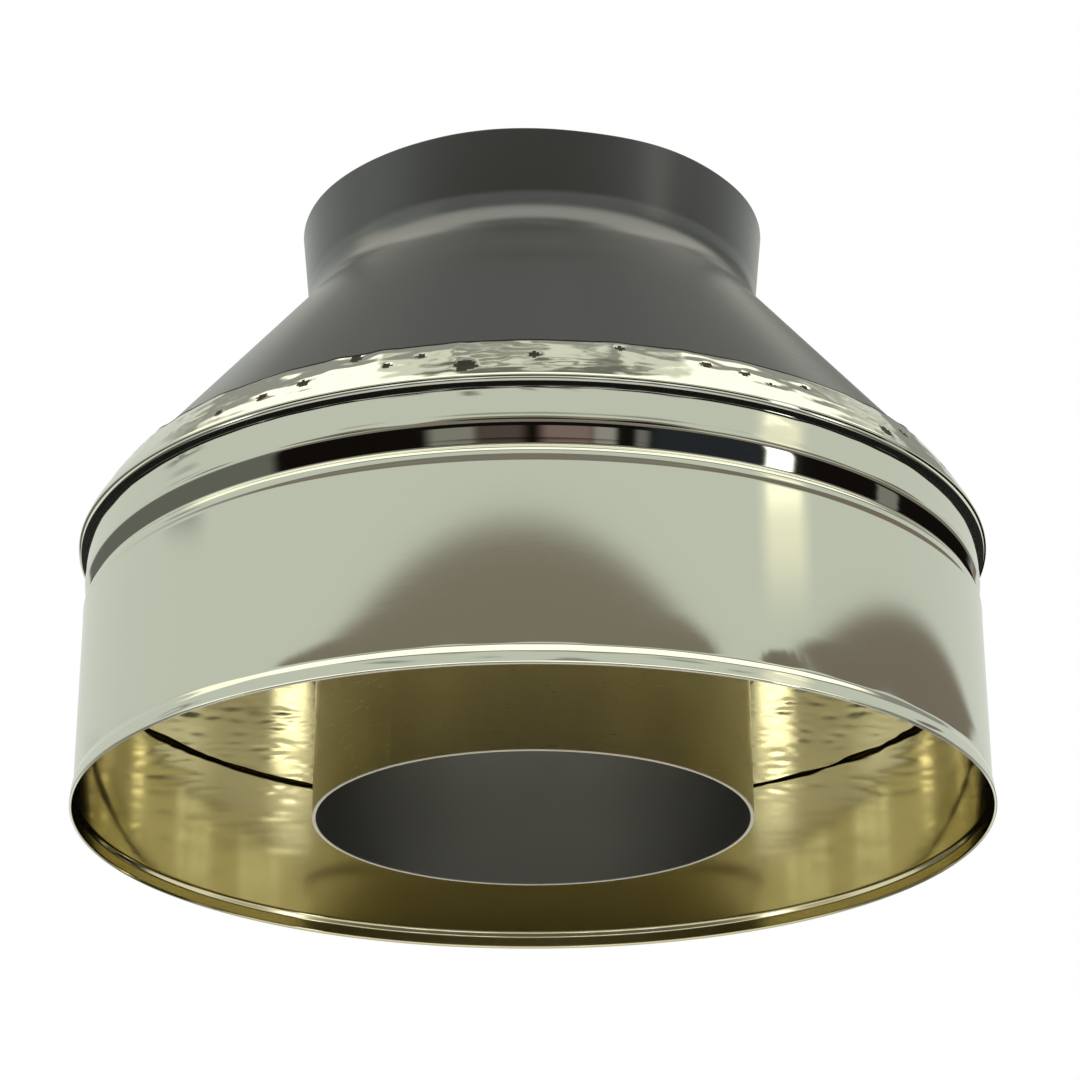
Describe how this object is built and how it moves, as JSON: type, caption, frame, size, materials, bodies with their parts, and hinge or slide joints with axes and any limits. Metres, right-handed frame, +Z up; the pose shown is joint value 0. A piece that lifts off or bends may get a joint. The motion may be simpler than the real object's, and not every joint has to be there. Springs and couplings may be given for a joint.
{
  "type": "conical twin-wall flue adapter",
  "caption": "Conical end adapter for an insulated twin-wall flue: bright casing, satin cone with collar, liner tube and closing plate round an open mouth.",
  "frame": {"origin": "middle of the casing's open mouth, in the plane of its rim, where the part stands", "axes": "+Z up the flue axis, from the wide mouth towards the narrow collar; +X to the right and +Y away, seen from the picture's side"},
  "size_m": [0.206, 0.206, 0.1459],
  "materials": {
    "bright_stainless": "bright annealed stainless sheet, mirror-like, with a pale greenish grey tone",
    "satin_stainless": "satin mill-finished stainless sheet, dark grey, spun",
    "liner_stainless": "smooth satin stainless tube with one lengthwise weld",
    "plate_stainless": "bright thin stainless plate, slightly crumpled",
    "mineral_wool": "packed brown mineral wool"
  },
  "bodies": {
    "root": {"outer_casing": "bright_stainless", "cone_cover": "satin_stainless", "liner_tube": "liner_stainless", "closing_plate": "plate_stainless", "insulation_ring": "mineral_wool"}
  },
  "joints": []
}
